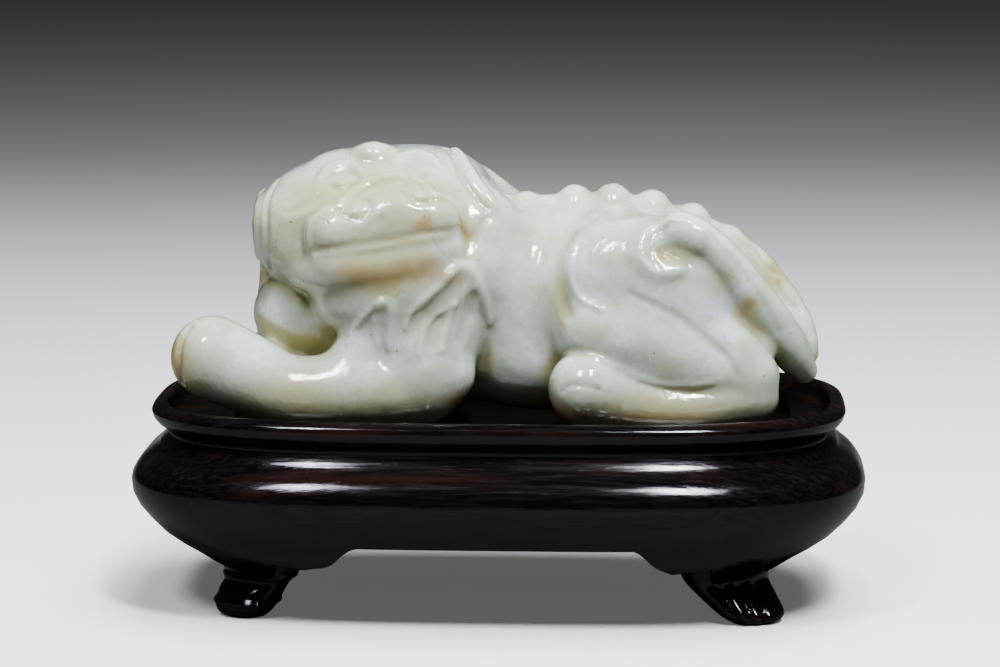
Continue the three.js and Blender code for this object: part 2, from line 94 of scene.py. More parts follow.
def smooth(points, step):
    """A smooth curve through the points, every number of a point carried along."""
    points = np.array(points, float)
    ends = np.vstack([points[:1], points, points[-1:]])
    path = []
    for a, b, c, d in zip(ends[:-3], ends[1:-2], ends[2:-1], ends[3:]):
        parts = max(1, math.ceil(np.linalg.norm((c - b)[:3]) / step))
        for t in np.arange(parts) / parts:
            path.append(0.5 * (2 * b + (c - a) * t + (2 * a - 5 * b + 4 * c - d) * t ** 2
                               + (3 * b - a - 3 * c + d) * t ** 3))
    return np.array(path + [points[-1]])


# farther from a limb than its seam reaches
BEYOND = 9.0


def follow(path, soft, cut=False):
    """A round limb along a path of x, y, z and radius."""
    room = path[:, 3].max() + soft + 1
    span, *_ = cells(path[:, :3].min(0) - room, path[:, :3].max(0) + room)
    form = np.full(stone[span].shape, BEYOND, np.float32)
    for a, b in zip(path[:-1], path[1:]):
        near = max(a[3], b[3]) + soft + 1
        part, x, y, z = cells(np.minimum(a, b)[:3] - near, np.maximum(a, b)[:3] + near)
        way = (b - a)[:3]
        px, py, pz = x - a[0], y - a[1], z - a[2]
        t = np.clip((px * way[0] + py * way[1] + pz * way[2]) / (way @ way + 1e-9), 0, 1)
        away = np.sqrt((px - t * way[0]) ** 2 + (py - t * way[1]) ** 2 + (pz - t * way[2]) ** 2)
        away -= a[3] + t * (b[3] - a[3])
        inner = tuple(slice(p.start - s.start, p.stop - s.start) for p, s in zip(part, span))
        form[inner] = np.minimum(form[inner], away)
    carve(span, form, soft, cut)


LIMB_STEP = 2.0


def limb(points, soft):
    """A round limb curved through points of x, y, z and radius."""
    follow(smooth(points, LIMB_STEP), soft)


def depth(places):
    """The distance at any places in the stone."""
    spot = np.clip((places - LOW) / CELL, 0, COUNT - 1.01)
    base = spot.astype(int)
    share = spot - base
    total = np.zeros(len(places))
    for corner in np.ndindex(2, 2, 2):
        weight = np.prod(np.where(corner, share, 1 - share), axis=1)
        total += weight * stone[tuple((base + corner).T)]
    return total


def outward(places):
    """The direction straight out of the stone."""
    step = np.eye(3) * 1.5 * CELL
    out = np.column_stack([depth(places + s) - depth(places - s) for s in step])
    return out / (np.linalg.norm(out, axis=1, keepdims=True) + 1e-9)


# The fine lines are drawn on an upright pane, as an eye in front of the beast sees them. A look
# starts a little before the pane and is followed into the stone.
EYE = (32.0, -612.0, 105.0)
PANE_Y = -20.0
BEFORE_PANE = 16
LOOK_DEEP = 45


def skin(x, z, side):
    """Where looks through points of the pane meet the skin, from the front or from the back."""
    eye = np.array([EYE[0], EYE[1] * side, EYE[2]])
    place = np.column_stack([x, np.full(len(x), PANE_Y * side), z])
    look = place - eye
    look /= np.linalg.norm(look, axis=1, keepdims=True)
    place -= BEFORE_PANE * look
    met = np.zeros(len(x), bool)
    before = depth(place)
    for _ in range(int(2 * LOOK_DEEP / CELL)):
        moved = place + look * CELL / 2
        now = depth(moved)
        hit = (now < 0) & ~met
        share = before / np.where(hit, before - now, 1)
        place = np.where(hit[:, None], place + look * (CELL / 2 * share)[:, None],
                         np.where(met[:, None], place, moved))
        before = np.where(met | hit, before, now)
        met |= hit
    return place, met


def settle(place):
    """Brings places near the skin onto it."""
    for _ in range(4):
        place = place - outward(place) * depth(place)[:, None]
    return place


RIB_STEP = 0.7
EASINGS = 16


def rib(points, rise, soft=0.3, side=1):
    """A rib raised on the skin, or a groove, along points of x, z and radius."""
    drawn = smooth([(x, z, 0, r) for x, z, r in points], RIB_STEP)
    place, met = skin(drawn[:, 0], drawn[:, 1], side)
    place, radius = place[met], drawn[met, 3]
    for _ in range(EASINGS):
        place[1:-1, 1] = (place[:-2, 1] + 2 * place[1:-1, 1] + place[2:, 1]) / 4
    place = settle(place)
    lift = np.where(rise > 0, rise - radius, radius + rise)
    place = place + outward(place) * lift[:, None]
    follow(np.column_stack([place, radius]), soft, rise < 0)


def boss(x, z, radii, rise, soft, tilt=(0, 0)):
    """A rounded lump on the near side, standing that far out of the skin."""
    place, _ = skin(np.array([x]), np.array([z]), 1)
    out = outward(place)[0]
    deep = np.linalg.norm(out * radii)
    lump(place[0] + out * (rise - deep), radii, soft, tilt)


# trunk from chest to rump, belly, neck and breast
limb([(-26, 1, 17.5, 14), (-10, 1, 19.3, 16), (8, 0.5, 20, 16.6), (22, 0, 19.8, 16.6),
      (31, 0, 16.2, 13.4), (37, 0, 11.2, 8.6)], 4)
lump((8, -3, 10.2), (17, 12.5, 8.8), 4)
lump((32, 0, 18), (15, 16, 14), 5)
limb([(-2, 1, 21, 14), (-13, 0, 27, 12.5)], 5)
lump((-30.6, -5.5, 17.9), (10.6, 9.8, 8.4), 2)
lump((-23, -3, 13), (9, 11, 10), 2.5)
lump((-33, 0, 10), (8, 12, 8), 2)

# hind legs and upper forelegs, near side and far side, the far haunch a little lower
FAR_DROP = 3
for side in (-1, 1):
    lump((24.5, 12.6 * side, 21.4 - FAR_DROP * (side > 0)), (15.2, 9.6, 13.8), 5, (0, 0), 2.5)
    lump((34.5, 11 * side, 15.5), (9.5, 6.5, 9), 2)
    limb([(17, 16.6 * side, 16.8, 6.6), (22, 17.6 * side, 16.2, 6.6), (30, 17.8 * side, 13.4, 5.7),
          (36, 17.4 * side, 11, 4.3), (42, 17 * side, 8.4, 4.4)], 1.8)
    limb([(33, 16 * side, 18, 4.5), (38.5, 16.6 * side, 14.2, 4.6), (42.6, 16.8 * side, 9.6, 4.2)], 1.5)
    lump((43.2, 13.4 * side, 14), (3.4, 3, 4), 1.5)
    limb([(18, 18.6 * side, 12, 3.6), (27, 18.9 * side, 10.4, 3.9), (36, 18 * side, 9.4, 3.7)], 2)
    limb([(30.5, 16 * side, 30.6 - FAR_DROP * (side > 0), 2.6),
          (34.6, 15.8 * side, 27.6 - FAR_DROP * (side > 0), 3.1), (38.6, 14.8 * side, 22.8, 3.3),
          (43, 12.6 * side, 17, 3.2)], 1.5)
    limb([(42.5, 17 * side, 5.8, 4.4), (32, 19 * side, 4.4, 4.2), (23, 20 * side, 5.2, 4.9),
          (15.5, 20.3 * side, 7.6, 6.5)], 0.8)
    limb([(-17, 12 * side, 20, 9.5), (-13.5, 14.6 * side, 14.5, 8), (-11.6, 16.2 * side, 10.4, 6.9)], 2.5)
    lump((-8.4, 17.2 * side, 9.2), (5.2, 4.6, 4.8), 1.5)
    limb([(-6.5, 10.5 * side, 24.4, 6), (-9.5, 13.2 * side, 17.5, 8), (-11.6, 16 * side, 11, 6.8)], 2)
    limb([(-5, 9 * side, 36.5, 5), (-1.5, 9.5 * side, 31.5, 6.3), (-3, 10.5 * side, 25.5, 6.8)], 4)

# near foreleg with its raised paw, far foreleg tucked in
limb([(-12, -17, 7.2, 6.4), (-22, -18, 6.4, 6.3), (-33.5, -17, 6.1, 6.1),
      (-40.5, -15.2, 8.5, 6.6), (-47.2, -13.5, 11.2, 7.0)], 2)
limb([(-19.5, -15.5, 19, 4.4), (-21.4, -16.6, 13.5, 4.8), (-26, -17.6, 8, 4.8), (-33, -17, 6, 4.8)], 1.5)
limb([(-12, 17, 7.2, 6.4), (-22, 18, 6, 6.3), (-33.5, 14, 5.6, 5.8), (-40, 10, 6.4, 6.2)], 2)

# head turned to the front: skull, cheek, muzzle and lower jaw
lump((-20.8, -1.5, 33.5), (20.4, 16, 11.6), 2.5, (0, -8), 2.5)
lump((-31.2, -4.6, 31.6), (9.6, 12.8, 7.6), 2, (0, 0), 2.5)
lump((-18.5, -12.6, 31.2), (13.8, 10.6, 9.4), 2.5, (9, -8), 3.2)
lump((-19, -11.8, 27.4), (16, 11.7, 4.6), 1.5, (0, -7), 2.5)
lump((-25.6, -4.5, 41.2), (6, 7, 3.9), 2)
lump((-3.5, -10.5, 31), (6, 6.5, 8), 2.5)
limb([(-25, -15.6, 21.4, 4.9), (-17, -17.6, 22.6, 5.2), (-10, -17, 24, 5.4), (-4, -13, 26.4, 5.6)], 2.5)
limb([(-36, -9, 29.2, 2.8), (-32.5, -13.5, 29, 3), (-28.5, -16.5, 28.6, 3)], 2.5)

# nose and upper lip, raised as one cloud, with the nose's arch and the nostrils
boss(-17.3, 38.7, (8.2, 4, 4.2), 0.7, 1.2, (0, -10))
boss(-26.7, 33, (4.2, 3.4, 3.8), 0.6, 1)
boss(-8.6, 35.8, (4, 3.4, 3.7), 0.6, 1)
for x, z in ((-22.7, 37), (-12.3, 39.5)):
    boss(x, z, (2.3, 2, 1.5), 0.35, 0.4, (0, -12))
rib([(-25.1, 37.5, 0.7), (-24.3, 38.9, 0.8), (-22.3, 40.4, 0.9), (-19.7, 41.7, 0.9), (-17.1, 42.4, 0.9),
     (-14.5, 42.5, 0.9), (-12.2, 42, 0.9), (-10.6, 40.7, 0.8), (-9.7, 39.2, 0.7)], 0.6, 0.4)
rib([(-25.1, 37.5, 0.5), (-25, 36.2, 0.6), (-23.7, 35.5, 0.6), (-21.7, 35.5, 0.6), (-20.4, 36.5, 0.5),
     (-20.2, 37.8, 0.5), (-21.4, 38.6, 0.4)], -0.4, 0.3)
rib([(-9.7, 39.2, 0.5), (-10.4, 38.4, 0.6), (-11.9, 38, 0.6), (-13.8, 38.5, 0.6), (-15, 39.8, 0.5),
     (-14.5, 41, 0.4)], -0.4, 0.3)
rib([(-29.8, 30.2, 0.5), (-30.3, 32.5, 0.7), (-30.1, 34.1, 0.7), (-29.3, 35.5, 0.7), (-27.3, 36.8, 0.7),
     (-25.1, 37.3, 0.5)], 0.5, 0.3)
rib([(-9.7, 39.2, 0.5), (-7.9, 39, 0.7), (-6.3, 37.6, 0.7), (-5.3, 35.9, 0.7), (-5.2, 34, 0.5)], 0.5, 0.3)
rib([(-18.4, 35.6, 0.4), (-18.9, 34.9, 0.5), (-19.5, 34.1, 0.4)], -0.35)

# mouth with its rolled lower lip, and the groove round the muzzle
rib([(-28.8, 28.2, 1.6), (-24.4, 27.4, 2.4), (-17.8, 27.8, 2.6), (-11.2, 29.3, 2.4),
     (-6.3, 31, 1.6)], 0.25, 1.2)
rib([(-29.8, 30.2, 0.4), (-26.7, 30.6, 0.5), (-22.4, 31.2, 0.55), (-19.1, 31.7, 0.55),
     (-15.8, 32.3, 0.55), (-12.5, 32.9, 0.55), (-9.3, 33.4, 0.5), (-5.2, 34, 0.4)], -0.3, 0.4)
rib([(-29.4, 29.2, 0.5), (-27, 29.5, 0.6), (-24.4, 29.9, 0.6), (-21.1, 30.4, 0.6), (-17.8, 30.9, 0.6),
     (-14.5, 31.6, 0.6), (-11.2, 32.1, 0.6), (-7.8, 32.7, 0.5)], 0.22, 0.3)
rib([(-31.3, 30, 0.5), (-31.8, 32.3, 0.7), (-31.4, 34.6, 0.7), (-30.3, 36.5, 0.7), (-28.2, 37.8, 0.6),
     (-26.3, 38.3, 0.5)], -0.2, 0.8)

# eyes with their lids, and the brows
for x, z, tilt in ((-24.8, 41.8, -8), (-12.5, 43.6, -12)):
    boss(x, z, (2.6, 2.4, 1.6), 0.35, 0.4, (0, tilt))
    rib([(x - 2.6, z, 0.4), (x - 1.5, z + 1.1, 0.5), (x, z + 1.6, 0.5), (x + 1.6, z + 1.3, 0.5),
         (x + 2.7, z + 0.5, 0.4)], -0.4, 0.3)
    rib([(x - 2.1, z - 0.8, 0.4), (x - 0.6, z - 1.5, 0.5), (x + 1.2, z - 1.3, 0.5),
         (x + 2.4, z - 0.4, 0.4)], -0.35, 0.3)
rib([(-28.4, 42, 0.6), (-27.6, 43.3, 0.8), (-26, 44.5, 0.9), (-24, 44.9, 0.9), (-22.4, 44.3, 0.8),
     (-21.7, 43.3, 0.5)], 0.45, 0.4)
rib([(-16.4, 44.6, 0.6), (-15.1, 45.8, 0.8), (-13.5, 46.5, 0.9), (-11.8, 46.6, 0.9), (-10.2, 45.8, 0.8),
     (-9.2, 44.5, 0.5)], 0.45, 0.4)

# the knob of the forehead
lump((-20.7, -6.5, 43.9), (4, 4.8, 2.7), 1.8, (-20, 0))

# cheek bands, the rolls of the mane behind them, the ear and the hollow under it
rib([(-36, 36.7, 1), (-33.8, 37.6, 1.3), (-31.7, 38.4, 1.3), (-29.6, 39.1, 1.2), (-27.6, 39.8, 0.8)],
    0.25, 0.6)
rib([(-34, 35.3, 0.9), (-32.1, 35.8, 1.2), (-29.9, 36.6, 1.2), (-28.1, 37.3, 0.8)], 0.2, 0.6)
rib([(-35.4, 42.2, 1.2), (-37, 41, 1.7), (-38.1, 39.4, 1.7), (-38.7, 37.1, 1.5),
     (-38.8, 34.3, 1.5), (-38.9, 31.4, 1.4), (-38.6, 29.1, 1.1)], 0.5, 0.5)
rib([(-35.3, 41.7, 0.4), (-36.8, 38.7, 0.6), (-37.2, 35.7, 0.6), (-37.1, 31.5, 0.6), (-36.7, 26.8, 0.4)],
    -0.45, 0.3)
limb([(-38.4, -2, 30, 2), (-39, -2, 24, 1.6), (-39.6, -3, 19, 1.3), (-40, -4, 13.5, 0.8)], 1)
rib([(-6.9, 47.3, 0.9), (-5, 45.1, 1.2), (-3.5, 42.3, 1.4), (-1.5, 39.7, 1.3), (0, 37.7, 0.9)], 0.7, 0.4)
rib([(-7.8, 47.1, 0.5), (-6.2, 44.1, 0.6), (-4.9, 41.5, 0.6), (-2.9, 38.9, 0.6), (-1.3, 37.2, 0.5)],
    -0.5, 0.3)
rib([(-1.1, 35.8, 0.5), (-3.2, 32.9, 0.7), (-4.3, 30.4, 0.7), (-5, 28.4, 0.5)], -0.3, 0.7)

# two flame-shaped locks on each shoulder: sharp edges that meet at the top, and inner ones
for side in (1, -1):
    rib([(-7.4, 26, 0.7), (-6.4, 27.2, 1), (-5, 27.8, 1.2), (-3.4, 26.6, 1.3), (-2.2, 23.9, 1.1),
         (-1.2, 21.3, 0.9), (-0.6, 18.4, 0.5)], 0.6, 0.4, side)
    rib([(-7, 26.6, 0.8), (-8.6, 24.6, 0.7), (-10.4, 22.9, 0.65), (-12.9, 20.8, 0.6),
         (-14, 19.2, 0.55), (-14.6, 17.2, 0.4)], 0.55, 0.3, side)
    rib([(-6.5, 21.5, 0.6), (-9.2, 19.8, 0.6), (-11.1, 17.7, 0.6), (-12.1, 15.2, 0.55),
         (-12.3, 12.9, 0.4)], 0.4, 0.3, side)
    rib([(-6.3, 21.5, 0.6), (-7.4, 18.4, 0.65), (-8, 16.3, 0.6), (-8.5, 13.6, 0.4)], 0.45, 0.3, side)
    rib([(-5.6, 24.8, 0.8), (-8.6, 22.4, 1), (-11, 20.2, 0.8)], -0.3, 1, side)
    rib([(-3.6, 22.6, 0.8), (-4.6, 19, 0.9), (-5.6, 15.6, 0.7)], -0.3, 1, side)
    rib([(-9, 19, 0.6), (-10, 17, 0.8), (-10.4, 14.6, 0.6)], -0.3, 0.8, side)
    rib([(-18.9, 21.4, 0.6), (-17.4, 21.6, 1), (-16.7, 20.4, 1.1), (-16.6, 18.4, 1), (-17, 15.8, 0.8),
         (-17.2, 14, 0.4)], 0.55, 0.4, side)
    rib([(-18.6, 21.7, 0.6), (-20.2, 20.5, 0.65), (-21.8, 18.8, 0.6), (-23.2, 16.6, 0.5),
         (-24, 14.6, 0.35)], 0.5, 0.3, side)
    rib([(-19.5, 19.2, 0.45), (-19.5, 17, 0.55), (-19.1, 14.2, 0.4)], 0.35, 0.3, side)

# the groove that sets off the claws of the raised paw
rib([(-50.1, 17.2, 0.7), (-51.6, 14.7, 0.7), (-51.9, 11.9, 0.7), (-51.8, 9.1, 0.7),
     (-51, 6.6, 0.7), (-49, 5.2, 0.6)], -0.6, 0.4)

# knobs along the spine and down the middle of the tail that hangs over the rump
limb([(0, 0, 34.2, 2.4), (13, 0, 34.8, 2.4), (22, 0, 34.6, 2.4), (29, 0, 32.6, 2.6),
      (35, 0, 29.6, 3)], 2)
limb([(33, 0, 31.4, 2.6), (40, -0.5, 27.4, 3.4), (45.5, -1, 21.5, 3.6), (49.6, -2, 15, 3.6),
      (51, -3, 11.4, 2.8)], 1)
KNOB_ACROSS = 4.2
KNOB_UP = 2.9
KNOBS = [(4.5, 35, 2.6), (12.6, 36.2, 3), (19, 36.4, 3.1), (25.6, 35.4, 3.1), (32.4, 33.2, 3),
         (38.6, 29.5, 2.8), (43.8, 25, 2.6), (47.9, 19.4, 2.4)]
for x, z, radius in KNOBS:
    lump((x, 0, z), (radius, KNOB_ACROSS, KNOB_UP), 0.9)

# the tail's side strands, from the tip up to their hooks on the haunches, with their scallops
STRAND = [(51.2, 6.5, 8.8, 2.3), (48.9, 9.5, 12.4, 3.3), (46, 12.5, 17.2, 3.5), (41.8, 15.4, 22.9, 3.4),
          (37.7, 17.2, 28.5, 3.1), (33.7, 17.8, 32.2, 2.9), (30.4, 17.6, 33.6, 2.5)]
HOOK = [(33.5, 33.2, 2.6), (30.5, 34.2, 3), (27, 33.8, 3.1), (24.7, 32, 3), (24.4, 29.6, 2.7),
        (25.7, 27.8, 2.2), (27.9, 26.9, 1.6), (30.2, 27.2, 0.9)]
HOOK_LINE = [(32, 35.1, 0.4), (27.4, 35.2, 0.5), (24.5, 33.4, 0.5), (24, 30, 0.5), (25.4, 27.6, 0.5),
             (28.2, 26.8, 0.35)]
for side in (1, -1):
    drop = FAR_DROP * (side < 0)
    limb([(x, -y * side, z - drop * (z > 20), radius) for x, y, z, radius in STRAND], 0.6)
    rib([(x, z - drop, radius) for x, z, radius in HOOK], 0.85, 1.1, side)
    rib([(x, z - drop, radius) for x, z, radius in HOOK_LINE], 0.35, 0.3, side)
    rib([(x + 1.7, z - 0.3 - drop, radius) for x, z, radius in HOOK_LINE[1:-1]], -0.35, 0.3, side)
    rib([(28, 30.6 - drop, 0.9), (29.6, 30, 1.1), (31.8, 28.6, 0.9)], -0.4, 0.8, side)
    rib([(35.2, 33.2 - drop, 0.35), (38.4, 29.8 - drop, 0.45), (41.6, 25.6, 0.45), (44.4, 21.2, 0.45),
         (47, 16.8, 0.35)], -0.25, 0.3, side)
    rib([(39, 33.6, 0.35), (40, 32, 0.5), (41.4, 31.1, 0.5), (43.2, 31, 0.35)], -0.4, 0.4, side)
    rib([(43.2, 30.2, 0.35), (44.2, 28.4, 0.5), (45.4, 27.2, 0.5), (47.2, 26.8, 0.35)], -0.4, 0.4, side)
    rib([(46.6, 25.2, 0.35), (47.6, 23, 0.5), (48.8, 21.6, 0.5), (50.2, 21, 0.35)], -0.4, 0.4, side)

# haunch: the hollow at its front, two crescents inside it, thigh crease, shank ridge and toe line
for side in (1, -1):
    rib([(12.6, 33, 0.6), (11, 29.6, 0.9), (10.6, 26, 1), (11.2, 22.6, 0.8), (12.4, 19.6, 0.5)],
        -0.25, 1.4, side)
    rib([(13.8, 32, 0.35), (12.9, 29.3, 0.5), (12.6, 27.1, 0.55), (13, 24.9, 0.55), (13.8, 23.1, 0.55),
         (15.5, 21.7, 0.5), (18, 20.6, 0.35)], 0.5, 0.3, side)
    rib([(18.6, 32.4, 0.35), (17, 31.4, 0.5), (16.2, 29.8, 0.5), (16.2, 28.4, 0.35)], 0.35, 0.4, side)
    rib([(22, 23.4, 0.4), (25.9, 21.7, 0.6), (30.7, 19.2, 0.7), (35.6, 15.3, 0.7), (38.6, 12.6, 0.6),
         (40.2, 9.8, 0.4)], -0.35, 0.5, side)
    rib([(16.4, 12.7, 0.45), (18.6, 11.9, 0.6), (20.7, 11.1, 0.6), (24, 9.5, 0.6), (27.3, 8.5, 0.6),
         (30.6, 8.2, 0.6), (35.8, 8.6, 0.4)], 0.4, 0.3, side)
    rib([(11.2, 7.2, 0.35), (12.6, 8.2, 0.5), (15, 8, 0.5), (17.4, 7.3, 0.4)], -0.4, 0.3, side)

# soft locks of the mane on the back of the head
MANE_LOCKS = 6
FIRST_LOCK = -37
LOCK_STEP = 6.2
for n in range(MANE_LOCKS):
    x = FIRST_LOCK + LOCK_STEP * n
    rib([(x, 42.5, 0.9), (x - 1.2, 37.5, 1.7), (x - 0.4, 32.5, 1.9), (x + 2.2, 28.6, 1.5),
         (x + 4.4, 28.4, 0.9)], 0.8, 1.4, -1)

# the underside is ground flat
stone = np.maximum(stone, -(LOW[2] + np.arange(COUNT[2]) * CELL).astype(np.float32))


def skin_of_stone():
    """One corner in every cell that the skin passes through, and a face round every edge."""
    whole = COUNT - 1
    total = np.zeros((*whole, 3))
    met = np.zeros(whole)
    faces = []
    crossings = []
    for axis in range(3):
        near = tuple(slice(0, COUNT[m] - (m == axis)) for m in range(3))
        far = tuple(slice(int(m == axis), COUNT[m]) for m in range(3))
        crossed = (stone[near] < 0) != (stone[far] < 0)
        edge = np.argwhere(crossed)
        share = stone[near][crossed] / (stone[near][crossed] - stone[far][crossed])
        spot = edge.astype(float)
        spot[:, axis] += share
        crossings.append((edge, (stone[near] < 0)[crossed]))
        across = [m for m in range(3) if m != axis]
        for shift in np.ndindex(2, 2):
            cell = edge.copy()
            cell[:, across] -= shift
            np.add.at(total, tuple(cell.T), spot)
            np.add.at(met, tuple(cell.T), 1)
    inside = met > 0
    number = np.cumsum(inside).reshape(whole) - 1
    corners = LOW + CELL * total[inside] / met[inside][:, None]
    for axis, (edge, filled) in enumerate(crossings):
        after, last = (axis + 1) % 3, (axis + 2) % 3
        ring = []
        for shift in ((1, 1), (0, 1), (0, 0), (1, 0)):
            cell = edge.copy()
            cell[:, after] -= shift[0]
            cell[:, last] -= shift[1]
            ring.append(number[tuple(cell.T)])
        ring = np.stack(ring, 1)
        ring[~filled] = ring[~filled][:, ::-1]
        faces.append(ring)
    return corners, np.vstack(faces)


def piece_of(name, corners, faces):
    """A smooth mesh object from corners in metres and four-sided faces."""
    mesh = bpy.data.meshes.new(name)
    mesh.vertices.add(len(corners))
    mesh.vertices.foreach_set("co", corners.astype(np.float32).ravel())
    mesh.loops.add(faces.size)
    mesh.loops.foreach_set("vertex_index", faces.astype(np.int32).ravel())
    mesh.polygons.add(len(faces))
    mesh.polygons.foreach_set("loop_start", np.arange(0, faces.size, 4, dtype=np.int32))
    mesh.update(calc_edges=True)
    mesh.validate()
    mesh.polygons.foreach_set("use_smooth", np.ones(len(faces), bool))
    piece = bpy.data.objects.new(name, mesh)
    bpy.context.collection.objects.link(piece)
    return piece


corners, faces = skin_of_stone()
corners[:, 2] = np.maximum(corners[:, 2], 0)
beast = piece_of("carved_jade_beast", (corners + (0, 0, BEAST_BOTTOM)) * MM, faces)

# how far every spot lies in a hollow of the carving, kept on the mesh for the painted shade in the
# stone's colour
FEELER = 2.5
hollow = 1 - depth(corners + outward(corners) * FEELER) / FEELER
kept_hollow = beast.data.attributes.new("hollow", "FLOAT", "POINT")
kept_hollow.data.foreach_set("value", hollow.astype(np.float32))


def add(tree, kind, settings=(), **values):
    """A node with its settings, and its sockets' values or what feeds them. i0 is the first socket."""
    made = tree.nodes.new(kind)
    for key, value in dict(settings).items():
        setattr(made, key, value)
    for key, value in values.items():
        by_number = key[0] == "i" and key[1:].isdigit()
        socket = made.inputs[int(key[1:]) if by_number else key.replace("_", " ")]
        if isinstance(value, bpy.types.NodeSocket):
            tree.links.new(value, socket)
        else:
            socket.default_value = value
    return made


def finish_of(name):
    """An empty material, its nodes, its shader and the piece's own places in mm."""
    material = bpy.data.materials.new(name)
    material.use_nodes = True
    tree = material.node_tree
    shader = tree.nodes["Principled BSDF"]
    place = add(tree, "ShaderNodeTexCoord").outputs["Object"]
    in_mm = add(tree, "ShaderNodeMapping", Vector=place, Scale=(1000, 1000, 1000)).outputs[0]
    return material, tree, shader, in_mm


def noise(tree, place, scale, detail=3.0, rough=0.5, warp=0.0):
    """A cloudy value about one half."""
    return add(tree, "ShaderNodeTexNoise", Vector=place, Scale=scale, Detail=detail,
               Roughness=rough, Distortion=warp).outputs["Fac"]


def ramp(tree, value, low, high, least=0.0, most=1.0):
    """Carries a value between low and high to between least and most, softly."""
    return add(tree, "ShaderNodeMapRange", {"interpolation_type": "SMOOTHSTEP"}, Value=value,
               From_Min=low, From_Max=high, To_Min=least, To_Max=most).outputs[0]


def sum_up(tree, way, a, b=0.0):
    """Two values worked together in the way that is named."""
    return add(tree, "ShaderNodeMath", {"operation": way}, i0=a, i1=b).outputs[0]


def tint(tree, share, under, over, way="MIX"):
    """Lays one colour over another by a share."""
    made = add(tree, "ShaderNodeMix", {"data_type": "RGBA", "blend_type": way})
    for socket, value in ((0, share), (6, under), (7, over)):
        if isinstance(value, bpy.types.NodeSocket):
            tree.links.new(value, made.inputs[socket])
        else:
            made.inputs[socket].default_value = value
    return made.outputs[2]


# polished celadon jade: clouds of milk in grey green, painted shade that darkens it low down and lays
# olive into its hollows, straw and ochre skin in patches, hairline cracks and a few dark specks
MILK = (0.67, 0.71, 0.75, 1)
CELADON = (0.47, 0.53, 0.44, 1)
LOW_PAINTED_SHADE = (0.28, 0.28, 0.20, 1)
HOLLOW_PAINTED_SHADE = (0.42, 0.41, 0.24, 1)
STRAW = (0.42, 0.39, 0.19, 1)
OCHRE = (0.39, 0.27, 0.10, 1)
RUST = (0.20, 0.09, 0.03, 1)
jade, tree, shader, in_mm = finish_of("polished_celadon_jade")
DRIFT = 9
drift = add(tree, "ShaderNodeTexNoise", Vector=in_mm, Scale=0.12, Detail=4.0)
drifted = add(tree, "ShaderNodeVectorMath", {"operation": "MULTIPLY_ADD"}, i0=drift.outputs["Color"],
              i1=(DRIFT, DRIFT, DRIFT), i2=in_mm).outputs[0]
cloud = ramp(tree, noise(tree, in_mm, 0.06, 5.0, 0.6, 0.8), 0.36, 0.64)
body = tint(tree, cloud, CELADON, MILK)
fibre = ramp(tree, noise(tree, in_mm, 0.9, 5.0, 0.7, 1.0), 0.4, 0.7, 0.0, 0.5)
body = tint(tree, fibre, body, CELADON)
wisp = ramp(tree, noise(tree, in_mm, 0.13, 6.0, 0.65, 1.5), 0.5, 0.7, 0.0, 0.35)
body = tint(tree, wisp, body, STRAW)
kept = add(tree, "ShaderNodeAttribute", {"attribute_name": "hollow"}).outputs["Fac"]
height = add(tree, "ShaderNodeSeparateXYZ", Vector=in_mm).outputs["Z"]
# painted shade: the stone is made darker and greener towards the bottom, where less light falls
low = ramp(tree, height, BEAST_BOTTOM + 3, BEAST_BOTTOM + 14, 0.75, 0.0)
body = tint(tree, low, body, LOW_PAINTED_SHADE)
# painted shade: olive laid into the hollows and creases of the carving, by how deep each spot lies
body = tint(tree, ramp(tree, kept, 0.06, 0.5, 0.0, 0.9), body, HOLLOW_PAINTED_SHADE)


def stain(tree, centre, reach, strength):
    """A patch with a broken edge round a place on the beast."""
    middle = (centre[0] + DRIFT / 2, centre[1] + DRIFT / 2, centre[2] + BEAST_BOTTOM + DRIFT / 2)
    away = add(tree, "ShaderNodeVectorMath", {"operation": "SUBTRACT"}, i0=drifted, i1=middle).outputs[0]
    flat = add(tree, "ShaderNodeVectorMath", {"operation": "DIVIDE"}, i0=away, i1=reach).outputs[0]
    far = add(tree, "ShaderNodeVectorMath", {"operation": "LENGTH"}, i0=flat).outputs["Value"]
    return ramp(tree, far, 0.0, 1.1, strength, 0.0)


def gather(tree, stains):
    """The strongest of several patches."""
    total = stain(tree, *stains[0])
    for patch in stains[1:]:
        total = sum_up(tree, "MAXIMUM", total, stain(tree, *patch))
    return total


straw_share = gather(tree, [((-18, -20, 26.5), (17, 14, 5.5), 1.0), ((-52, -14, 9), (9, 12, 9), 0.9),
                            ((-41, -6, 31), (4, 14, 13), 0.9), ((46, -5, 26), (10, 12, 11), 0.9),
                            ((11, -20, 22), (3.4, 9, 9), 0.9), ((28, -22, 3), (20, 9, 7), 0.8),
                            ((-20, -20, 2), (24, 12, 6), 0.7), ((5, -14, 3), (9, 9, 6), 0.8),
                            ((-30, -16, 13), (8, 8, 5), 0.7), ((-18, -20, 39), (13, 9, 6), 0.5),
                            ((29, -20, 30), (4, 5, 2.4), 0.8), ((36, -19, 25), (4, 5, 4), 0.7),
                            ((41, -18, 20), (4, 5, 4), 0.6), ((17, -20, 17), (5, 9, 4), 0.6),
                            ((-22, -16, 33), (26, 16, 20), 0.9), ((-26, -20, 5), (22, 9, 10), 0.9)])
body = tint(tree, straw_share, body, STRAW)
